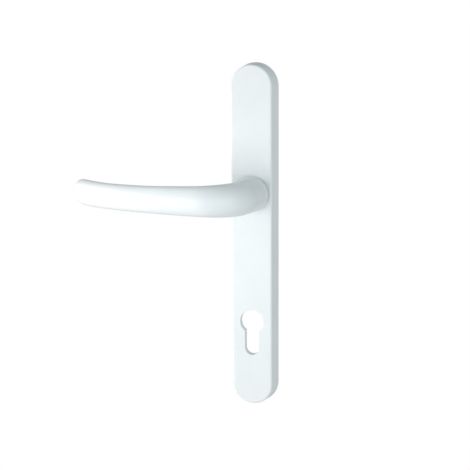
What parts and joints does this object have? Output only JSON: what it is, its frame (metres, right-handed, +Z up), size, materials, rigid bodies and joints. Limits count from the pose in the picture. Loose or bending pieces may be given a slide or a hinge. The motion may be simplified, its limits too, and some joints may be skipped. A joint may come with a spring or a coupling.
{
  "type": "lever door handle",
  "caption": "Outside lever handle on a long round-ended backplate with a euro-profile cylinder cut-out, sprung to return level.",
  "frame": {"origin": "on the spindle axis, in the plane of the door that the backplate's rear rim lies on", "axes": "+Z up along the backplate, +Y into the door, +X away from the lever, which points to -X"},
  "size_m": [0.1437, 0.0741, 0.2455],
  "materials": {
    "white_coat": "satin powder coat",
    "zinc_plated_steel": "zinc plated",
    "spring_steel": "oiled",
    "phosphated_steel": "phosphated",
    "acetal": "moulded",
    "seal_rubber": "matt",
    "gasket_foam": "closed-cell foam"
  },
  "bodies": {
    "plate": {"backplate": "white_coat", "perimeter_gasket": "gasket_foam", "fixing_post_upper": "zinc_plated_steel", "fixing_post_lower": "zinc_plated_steel", "neck_bush": "acetal", "hub_seal": "seal_rubber", "thrust_washer": "acetal", "return_spring": "spring_steel", "spring_cover": "zinc_plated_steel", "cover_screw_upper": "zinc_plated_steel", "cover_screw_lower": "zinc_plated_steel"},
    "lever": {"lever": "white_coat", "drive_plate": "zinc_plated_steel", "spring_washer": "spring_steel", "circlip": "phosphated_steel"}
  },
  "joints": [
    {"name": "lever_turn", "type": "hinge", "parent": "plate", "child": "lever", "pos_m": [0, 0, 0], "axis": [0, -1, 0], "range_deg": [-45, 45], "stiffness_Nm_per_rad": 1.2, "deforming": ["return_spring"]}
  ]
}
